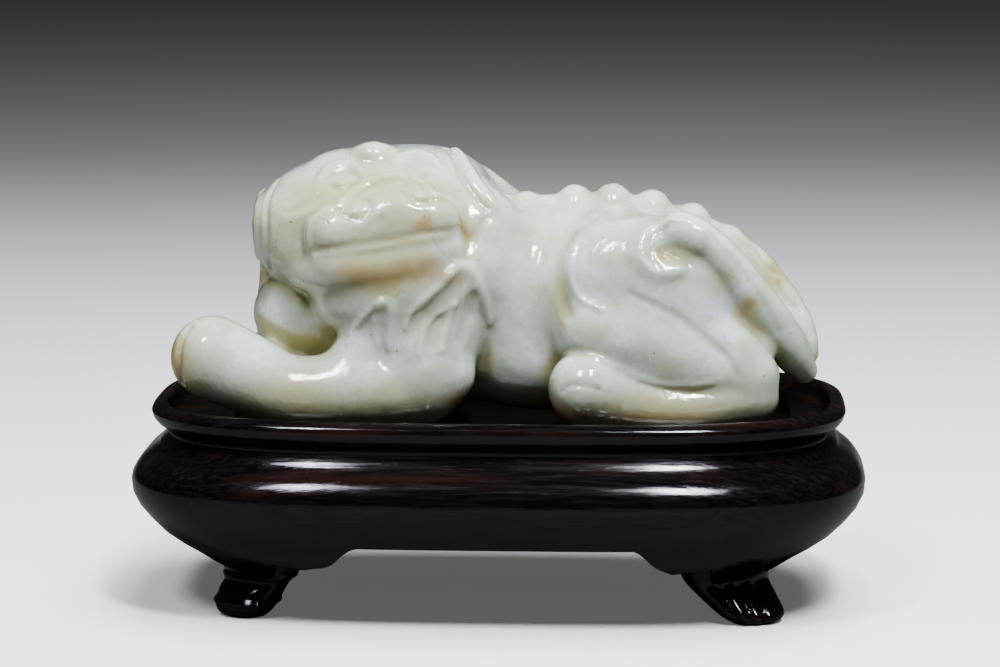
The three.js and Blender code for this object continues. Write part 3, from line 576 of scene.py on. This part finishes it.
ochre_share = gather(tree, [((-54.8, -12, 9), (7, 13, 11), 1.0), ((-42.5, -5, 29), (3, 10, 9), 0.8),
                            ((-12, -22, 34.6), (3, 6, 1.6), 0.9), ((-5.4, -18, 33.9), (2.4, 5, 1.2), 1.0),
                            ((48.5, -4, 27), (4, 7, 5), 0.6), ((53.5, -3, 9), (3.4, 6, 4), 0.7),
                            ((-16, -22, 27), (15, 9, 3.2), 0.75), ((-5, -20, 6), (4, 6, 4), 0.8),
                            ((10, -24, 4), (4, 6, 4), 0.7), ((11, -22, 20), (2, 6, 3), 0.8),
                            ((41, -18, 20.6), (3, 5, 1.4), 0.7), ((23, -24, 4), (3, 6, 2), 0.6)])
body = tint(tree, ochre_share, body, OCHRE)
stained = sum_up(tree, "MAXIMUM", straw_share, ochre_share)
veins = add(tree, "ShaderNodeTexVoronoi", {"feature": "DISTANCE_TO_EDGE"}, Vector=drifted,
            Scale=0.075).outputs["Distance"]
thin = ramp(tree, veins, 0.002, 0.011, 1.0, 0.0)
some = ramp(tree, noise(tree, in_mm, 0.16, 3.0), 0.5, 0.62, 0.0, 0.6)
crack = sum_up(tree, "MULTIPLY", sum_up(tree, "MULTIPLY", thin, some),
               sum_up(tree, "ADD", sum_up(tree, "MULTIPLY", stained, 1.4), 0.12))
body = tint(tree, crack, body, OCHRE)
grit = add(tree, "ShaderNodeTexVoronoi", Vector=in_mm, Scale=0.45)
dot = ramp(tree, grit.outputs["Distance"], 0.05, 0.11, 1.0, 0.0)
chosen = add(tree, "ShaderNodeSeparateColor", Color=grit.outputs["Color"]).outputs[0]
dot = sum_up(tree, "MULTIPLY", dot, ramp(tree, chosen, 0.82, 0.86))
body = tint(tree, sum_up(tree, "MULTIPLY", dot, 0.75), body, RUST)
tree.links.new(body, shader.inputs["Base Color"])
gloss = sum_up(tree, "ADD", ramp(tree, noise(tree, in_mm, 0.3, 4.0), 0.3, 0.7, 0.1, 0.2),
               sum_up(tree, "MULTIPLY", ochre_share, 0.12))
tree.links.new(gloss, shader.inputs["Roughness"])
wave = noise(tree, in_mm, 0.35, 2.0)
swell = add(tree, "ShaderNodeBump", Strength=0.3, Distance=0.0006, Height=wave).outputs[0]
brush = add(tree, "ShaderNodeBump", Strength=0.12, Distance=0.0002,
            Height=noise(tree, in_mm, 2.2, 3.0, 0.6), Normal=swell).outputs[0]
pit = add(tree, "ShaderNodeBump", {"invert": True}, Strength=0.5, Distance=0.0001,
          Height=sum_up(tree, "ADD", crack, dot), Normal=brush).outputs[0]
tree.links.new(pit, shader.inputs["Normal"])
shader.inputs["IOR"].default_value = 1.6
shader.inputs["Coat Weight"].default_value = 0.5
shader.inputs["Coat Roughness"].default_value = 0.05
shader.inputs["Subsurface Weight"].default_value = 0.7
shader.inputs["Subsurface Radius"].default_value = (1.0, 0.9, 0.55)
shader.inputs["Subsurface Scale"].default_value = 0.0045
beast.data.materials.append(jade)
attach(beast, "root")
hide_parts("jade_beast")

# The wooden stand
# One block of very dark hardwood: a waisted tray on a swelling body and four short feet,
# sawn out under the apron, then scraped smooth and waxed. Its seat is cut for the beast.
AROUND = 192
SQUARENESS = 3.3
PROFILE = [
    (43.6, 24.4, 6.2), (44.9, 25.8, 6.8), (46.0, 27.0, 7.6), (47.1, 28.1, 8.2), (48.4, 29.2, 8.9),
    (51.0, 31.0, 10.4), (53.8, 32.6, 11.8), (56.5, 34.0, 13.5), (58.9, 35.3, 15.6),
    (60.6, 36.4, 17.7), (61.6, 37.1, 19.8), (61.8, 37.2, 21.7), (61.6, 37.0, 22.7), (61.1, 36.65, 23.6),
    (60.6, 36.25, 24.3), (60.0, 35.75, 25.0), (59.4, 35.25, 25.5), (58.2, 34.2, 26.5), (57.4, 33.5, 27.2),
    (57.1, 33.2, 27.6), (56.8, 33.0, 28.0), (56.0, 32.3, 28.6), (55.5, 31.8, 29.2),
    (55.6, 31.9, 29.7), (56.2, 32.2, 30.3), (57.3, 33.0, 31.1), (58.1, 33.5, 32.1), (58.4, 33.6, 33.1),
    (58.1, 33.3, 33.8), (57.6, 32.8, 34.1), (57.2, 32.4, 34.0), (56.8, 32.0, 34.3), (56.3, 31.5, 34.5),
    (55.8, 31.0, 34.3), (55.4, 30.6, 33.6), (55.2, 30.4, 32.4), (54.8, 30.0, 31.8),
]

bpy.ops.object.select_all(action="DESELECT")
half_length, half_depth, height = PROFILE[0]
bpy.ops.mesh.primitive_circle_add(vertices=AROUND, radius=1, fill_type="NGON",
                                  location=(0, 0, height * MM))
stand = bpy.context.object
stand.name = "carved_wood_stand"
bpy.ops.object.transform_apply(location=True, rotation=True, scale=True)
for corner in stand.data.vertices:
    x, y, z = corner.co
    far = (abs(x) ** SQUARENESS + abs(y) ** SQUARENESS) ** (-1 / SQUARENESS)
    corner.co = (x * far * half_length * MM, y * far * half_depth * MM, z)
bpy.ops.object.mode_set(mode="EDIT")
bpy.ops.mesh.select_all(action="SELECT")
for length, across, top in PROFILE[1:]:
    bpy.ops.mesh.extrude_region_move(TRANSFORM_OT_translate={"value": (0, 0, (top - height) * MM)})
    bpy.ops.transform.resize(value=(length / half_length, across / half_depth, 1))
    half_length, half_depth, height = length, across, top
bpy.ops.mesh.select_all(action="SELECT")
bpy.ops.mesh.normals_make_consistent(inside=False)
bpy.ops.object.mode_set(mode="OBJECT")

# the apron and the legs are squarer in plan than the rim
LEG_SQUARENESS = [(6.2, 5), (7.6, 4.8), (8.9, 4.4), (11.8, 3.7), (15.6, SQUARENESS)]
lengths, depths, heights = zip(*PROFILE[:9])
for corner in stand.data.vertices:
    x, y, z = corner.co / MM
    if z < LEG_SQUARENESS[-1][0]:
        power = np.interp(z, *zip(*LEG_SQUARENESS))
        u, v = abs(x) / np.interp(z, heights, lengths), abs(y) / np.interp(z, heights, depths)
        far = (u ** power + v ** power) ** (-1 / power)
        corner.co = (x * far * MM, y * far * MM, z * MM)


def sawn_block(name, low, high):
    """A block between two corners in mm, to be cut out of the wood."""
    bpy.ops.object.select_all(action="DESELECT")
    middle = [(a + b) / 2 * MM for a, b in zip(low, high)]
    bpy.ops.mesh.primitive_cube_add(size=1, location=middle)
    block = bpy.context.object
    block.name = name
    block.scale = [(b - a) * MM for a, b in zip(low, high)]
    bpy.ops.object.transform_apply(location=True, rotation=True, scale=True)
    return block


def take_away(wood, tool, way="DIFFERENCE"):
    """Cuts a tool's shape out of the wood, or joins it on."""
    cut = wood.modifiers.new(tool.name, "BOOLEAN")
    cut.operation = way
    cut.solver = "EXACT"
    cut.object = tool
    bpy.ops.object.select_all(action="DESELECT")
    bpy.context.view_layer.objects.active = wood
    bpy.ops.object.modifier_apply(modifier=cut.name)
    bpy.data.objects.remove(tool)


def sawn_arch(name, right, left, reach, turn):
    """An opening with a scalloped edge, from its right and left halves, pushed through the wood."""
    outline = right + [(-x, z) for x, z in reversed(left)]
    mesh = bpy.data.meshes.new(name)
    mesh.from_pydata([(x * MM, -reach * MM, z * MM) for x, z in outline], [],
                     [list(range(len(outline)))])
    arch = bpy.data.objects.new(name, mesh)
    bpy.context.collection.objects.link(arch)
    bpy.ops.object.select_all(action="DESELECT")
    bpy.context.view_layer.objects.active = arch
    arch.select_set(True)
    bpy.ops.object.mode_set(mode="EDIT")
    bpy.ops.mesh.select_all(action="SELECT")
    bpy.ops.mesh.extrude_region_move(TRANSFORM_OT_translate={"value": (0, 2 * reach * MM, 0)})
    bpy.ops.mesh.select_all(action="SELECT")
    bpy.ops.mesh.normals_make_consistent(inside=False)
    bpy.ops.object.mode_set(mode="OBJECT")
    arch.rotation_euler[2] = turn
    bpy.ops.object.transform_apply(location=True, rotation=True, scale=True)
    return arch


UNDER_APRON = 5.9
HOLLOW_TOP = 22
take_away(stand, sawn_block("hollow_along", (-52, -15, UNDER_APRON), (52, 15, HOLLOW_TOP)))
take_away(stand, sawn_block("hollow_across", (-36, -29, UNDER_APRON), (36, 29, HOLLOW_TOP)))
RIGHT_ARCH = [(32, UNDER_APRON), (31.4, 7.8), (30.7, 8.6), (29.9, 9.3), (28.8, 9.8), (27.7, 10.4),
              (26.9, 10.9), (26.2, 11.6), (25.6, 12.3), (25, 13), (24.3, 13.7), (23.4, 14.2)]
LEFT_ARCH = [(33.6, UNDER_APRON), (33.3, 7.2), (32.9, 7.9), (32.3, 8.5), (31.4, 9.2), (30.4, 9.6),
             (29, 9.9), (27.6, 10.1), (26.7, 10.4), (25.8, 10.9), (25.1, 11.6), (24.5, 12.3),
             (23.8, 13), (23, 13.6), (22.3, 14), (21.5, 14.2)]
END_ARCH = [(15, UNDER_APRON), (14.3, 8.2), (13.7, 9.1), (13, 9.9), (12.2, 10.5), (11.4, 11),
            (10.6, 11.6), (10, 12.4), (9.4, 13.4), (8.8, 14.2)]
take_away(stand, sawn_arch("long_arch", RIGHT_ARCH, LEFT_ARCH, 50, 0))
take_away(stand, sawn_arch("end_arch", END_ARCH, END_ARCH, 75, math.pi / 2))

# a foot at each corner, set across it: it narrows under the apron and turns out over a round sole,
# in rings of (height, shift outwards, half width across, half width outwards) in mm
LEFT_FOOT = [(0, 2.9, 3.3, 3), (0.8, 3, 4.4, 4), (2.4, 2.6, 5.3, 4.6), (4.4, 1.8, 5.7, 4.3),
             (5.8, 1, 5.9, 4), (7.2, 0.4, 6.6, 4.4), (9.5, -0.5, 8, 5.4)]
RIGHT_FOOT = [(0, 4.5, 3.6, 3.2), (0.8, 4.3, 4.9, 4.4), (1.9, 3.7, 5.8, 4.9), (4.2, 1.8, 6.7, 4.6),
              (5.8, 0.5, 7.2, 4.4), (7.2, -0.2, 7.6, 4.6), (9.5, -0.5, 8.2, 5.4)]
ANKLE = (38.5, 18.0)
SIDEWAYS = 0.6
FOOT_TURN = math.radians(30)
FOOT_SQUARENESS = 2.3
FOOT_AROUND = 96


def ridged(angle, height):
    """The ledge at the ankle and the ridge round the sole of a left foot, in mm."""
    return 0.35 * math.exp(-((height - 2.6) / 0.45) ** 2) + 0.4 * math.exp(-((height - 6.7) / 0.4) ** 2)


def toed(angle, height):
    """The grooves between the toes of a right foot, running down and outwards, in mm."""
    fade = min(1, height / 0.8, max(0, (7 - height) / 1.2))
    toes = [math.degrees(angle) + 4.6 * height - start for start in (96, 122, 148)]
    return -0.7 * fade * sum(math.exp(-(toe / 6) ** 2) for toe in toes)


def foot(name, rings, end, side, carving):
    """One foot, drawn up from the floor ring by ring and then shaped."""
    rings = smooth(rings, 0.35)
    bpy.ops.object.select_all(action="DESELECT")
    bpy.ops.mesh.primitive_circle_add(vertices=FOOT_AROUND, radius=1, fill_type="NGON")
    stub = bpy.context.object
    stub.name = name
    bpy.ops.object.mode_set(mode="EDIT")
    bpy.ops.mesh.select_all(action="SELECT")
    for below, above in zip(rings[:-1, 0], rings[1:, 0]):
        bpy.ops.mesh.extrude_region_move(TRANSFORM_OT_translate={"value": (0, 0, above - below)})
    bpy.ops.object.mode_set(mode="OBJECT")
    for corner in stub.data.vertices:
        x, y, height = corner.co
        shift, across, outwards = (np.interp(height, rings[:, 0], rings[:, m]) for m in (1, 2, 3))
        more = carving(math.atan2(y, x), height)
        far = (abs(x) ** FOOT_SQUARENESS + abs(y) ** FOOT_SQUARENESS) ** (-1 / FOOT_SQUARENESS)
        u, v = x * far * (across + more), y * far * (outwards + more)
        x = ANKLE[0] + shift + u * math.cos(FOOT_TURN) + v * math.sin(FOOT_TURN)
        y = ANKLE[1] + shift * SIDEWAYS - u * math.sin(FOOT_TURN) + v * math.cos(FOOT_TURN)
        corner.co = (x * end * MM, y * side * MM, height * MM)
    bpy.ops.object.mode_set(mode="EDIT")
    bpy.ops.mesh.select_all(action="SELECT")
    bpy.ops.mesh.normals_make_consistent(inside=False)
    bpy.ops.object.mode_set(mode="OBJECT")
    return stub


for side in (-1, 1):
    take_away(stand, foot("left_foot", LEFT_FOOT, -1, side, ridged), "UNION")
    take_away(stand, foot("right_foot", RIGHT_FOOT, 1, side, toed), "UNION")

# the seat: a shallow pool that follows the outline of the resting beast
SEAT = [(49, 8), (47.5, 22), (38, 25.5), (22, 28), (10, 27.5), (4, 22.5), (-3, 26), (-14, 27),
        (-30, 26), (-40, 22.5), (-44, 10), (-44, -10), (-40, -22.5), (-30, -26), (-14, -27), (-3, -26),
        (4, -22.5), (10, -27.5), (22, -28), (38, -25.5), (47.5, -22), (49, -8), (49, 8)]
SEAT_FLOOR = 30.7
SEAT_STEP = 3.0
POOL_HEIGHT = 5
edge = smooth([(x, y, 0) for x, y in SEAT], SEAT_STEP)[:-1]
pool = bpy.data.meshes.new("seat_pool")
pool.from_pydata([(x * MM, y * MM, SEAT_FLOOR * MM) for x, y, _ in edge], [],
                 [list(range(len(edge)))])
seat = bpy.data.objects.new("seat_pool", pool)
bpy.context.collection.objects.link(seat)
bpy.context.view_layer.objects.active = seat
bpy.ops.object.select_all(action="DESELECT")
seat.select_set(True)
bpy.ops.object.mode_set(mode="EDIT")
bpy.ops.mesh.select_all(action="SELECT")
bpy.ops.mesh.extrude_region_move(TRANSFORM_OT_translate={"value": (0, 0, POOL_HEIGHT * MM)})
bpy.ops.mesh.select_all(action="SELECT")
bpy.ops.mesh.normals_make_consistent(inside=False)
bpy.ops.object.mode_set(mode="OBJECT")
take_away(stand, seat)
bpy.ops.object.select_all(action="DESELECT")
stand.select_set(True)
bpy.context.view_layer.objects.active = stand
SHARP_EDGE = math.radians(38)
bpy.ops.object.shade_smooth_by_angle(angle=SHARP_EDGE)

# waxed blackwood: nearly black with a plum cast, fine grain along its length, short pores
EBONY = (0.0035, 0.003, 0.0036, 1)
PLUM = (0.012, 0.0085, 0.010, 1)
REDWOOD = (0.032, 0.013, 0.010, 1)
wood, tree, shader, in_mm = finish_of("waxed_blackwood")
along = add(tree, "ShaderNodeMapping", Vector=in_mm, Scale=(0.06, 0.9, 1.0)).outputs[0]
grain = noise(tree, along, 1.6, 5.0, 0.6, 0.6)
broad = add(tree, "ShaderNodeMapping", Vector=in_mm, Scale=(0.02, 0.16, 0.16)).outputs[0]
band = noise(tree, broad, 1.2, 2.0)
shade = tint(tree, ramp(tree, grain, 0.42, 0.7), EBONY, PLUM)
shade = tint(tree, ramp(tree, band, 0.5, 0.75, 0.0, 0.5), shade, REDWOOD)
pores = add(tree, "ShaderNodeMapping", Vector=in_mm, Scale=(0.5, 3.2, 3.2)).outputs[0]
pore = ramp(tree, noise(tree, pores, 1.0, 2.0), 0.62, 0.7)
tree.links.new(shade, shader.inputs["Base Color"])
sheen = sum_up(tree, "ADD", ramp(tree, grain, 0.3, 0.7, 0.1, 0.16),
               sum_up(tree, "MULTIPLY", pore, 0.06))
tree.links.new(sheen, shader.inputs["Roughness"])
slant = add(tree, "ShaderNodeLayerWeight", Blend=0.5).outputs["Facing"]
tree.links.new(ramp(tree, slant, 0.45, 0.9, 0.5, 0.06), shader.inputs["Specular IOR Level"])
rough = add(tree, "ShaderNodeBump", Strength=0.12, Distance=0.0003, Height=grain).outputs[0]
dips = add(tree, "ShaderNodeBump", {"invert": True}, Strength=0.05, Distance=0.0001, Height=pore,
           Normal=rough).outputs[0]
tree.links.new(dips, shader.inputs["Normal"])
shader.inputs["Specular Tint"].default_value = (0.95, 0.92, 1.0, 1)
stand.data.materials.append(wood)
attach(stand, "root")
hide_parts("wood_stand")

# The floor, the light and the camera
# A pale floor with painted shade that dims it towards the back, and a faint painted glow, seen by the
# camera only, that lifts the shadow under the stand; every other ray sees a dark grey floor. A broad soft
# light overhead, a small one from either side of the front, and the camera where the beast was looked at
# from.
FLOOR_SIZE = 6
DIM_FROM = -0.1
DIM_TO = 0.8
NEAR_PAPER = (0.8, 0.8, 0.8, 1)
FAR_PAPER = (0.24, 0.24, 0.24, 1)
UNSEEN_PAPER = (0.18, 0.18, 0.18, 1)
bpy.ops.object.select_all(action="DESELECT")
bpy.ops.mesh.primitive_plane_add(size=FLOOR_SIZE)
floor = bpy.context.object
floor.name = "floor"
paper = bpy.data.materials.new("pale_paper")
paper.use_nodes = True
tree = paper.node_tree
shader = tree.nodes["Principled BSDF"]
shader.inputs["Roughness"].default_value = 0.8
shader.inputs["Specular IOR Level"].default_value = 0.1
seen = add(tree, "ShaderNodeLightPath").outputs["Is Camera Ray"]
place = add(tree, "ShaderNodeTexCoord").outputs["Object"]
behind = add(tree, "ShaderNodeSeparateXYZ", Vector=place).outputs["Y"]
# painted shade: the floor's colour fades from pale near the stand to dark grey towards the back
dimmed = tint(tree, ramp(tree, behind, DIM_FROM, DIM_TO), NEAR_PAPER, FAR_PAPER)
# the camera sees that pale painted floor, every other ray a dark grey copy of it
tree.links.new(tint(tree, seen, UNSEEN_PAPER, dimmed), shader.inputs["Base Color"])
shader.inputs["Emission Color"].default_value = (1, 1, 1, 1)
# painted light: a faint glow seen by the camera only, which brightens the floor's shadows and fades
# towards the back
painted_glow = ramp(tree, behind, DIM_FROM, DIM_TO, 0.12, 0.01)
tree.links.new(sum_up(tree, "MULTIPLY", seen, painted_glow), shader.inputs["Emission Strength"])
floor.data.materials.append(paper)

world = bpy.data.worlds.new("room")
bpy.context.scene.world = world
world.use_nodes = True
room = world.node_tree.nodes["Background"]
room.inputs["Color"].default_value = (1.0, 0.95, 0.85, 1)
room.inputs["Strength"].default_value = 0.05

LIT_PLACE = Vector((0, 0, 0.05))
DAYLIGHT = (0.93, 0.96, 1.0)


def softbox(name, place, size, power):
    """A soft rectangular light that looks at the beast."""
    light = bpy.data.lights.new(name, "AREA")
    light.shape = "RECTANGLE"
    light.size, light.size_y = size
    light.energy = power
    lamp = bpy.data.objects.new(name, light)
    bpy.context.collection.objects.link(lamp)
    lamp.location = place
    lamp.rotation_euler = (LIT_PLACE - Vector(place)).to_track_quat("-Z", "Y").to_euler()
    lamp.data.color = DAYLIGHT
    return lamp


softbox("front_left", (-0.32, -0.46, 0.80), (0.13, 0.24), 5.0)
softbox("front_right", (0.23, -0.48, 0.82), (0.13, 0.24), 9.0)
overhead = softbox("overhead", (0.15, 0.02, 0.75), (0.8, 0.5), 9.5)
overhead.visible_glossy = False

# the lens makes a mm of the beast 5.9 pixels wide, in a picture of 1000 pixels
AZIMUTH = math.radians(3)
ELEVATION = math.radians(8.5)
AWAY = 620
AIM = Vector((0, 0, 0.0446))
SENSOR = 36
PICTURE_WIDTH = 1000
WIDTH_OF_MM = 5.9
camera = bpy.data.objects.new("camera", bpy.data.cameras.new("camera"))
bpy.context.collection.objects.link(camera)
back = Vector((math.sin(AZIMUTH) * math.cos(ELEVATION), -math.cos(AZIMUTH) * math.cos(ELEVATION),
               math.sin(ELEVATION)))
camera.location = AIM + back * (AWAY * MM)
camera.rotation_euler = (-back).to_track_quat("-Z", "Y").to_euler()
camera.data.lens = WIDTH_OF_MM * AWAY * SENSOR / PICTURE_WIDTH
camera.data.sensor_width = SENSOR
camera.data.clip_start = 0.01
bpy.context.scene.camera = camera
bpy.context.scene.view_settings.look = "AgX - Medium High Contrast"
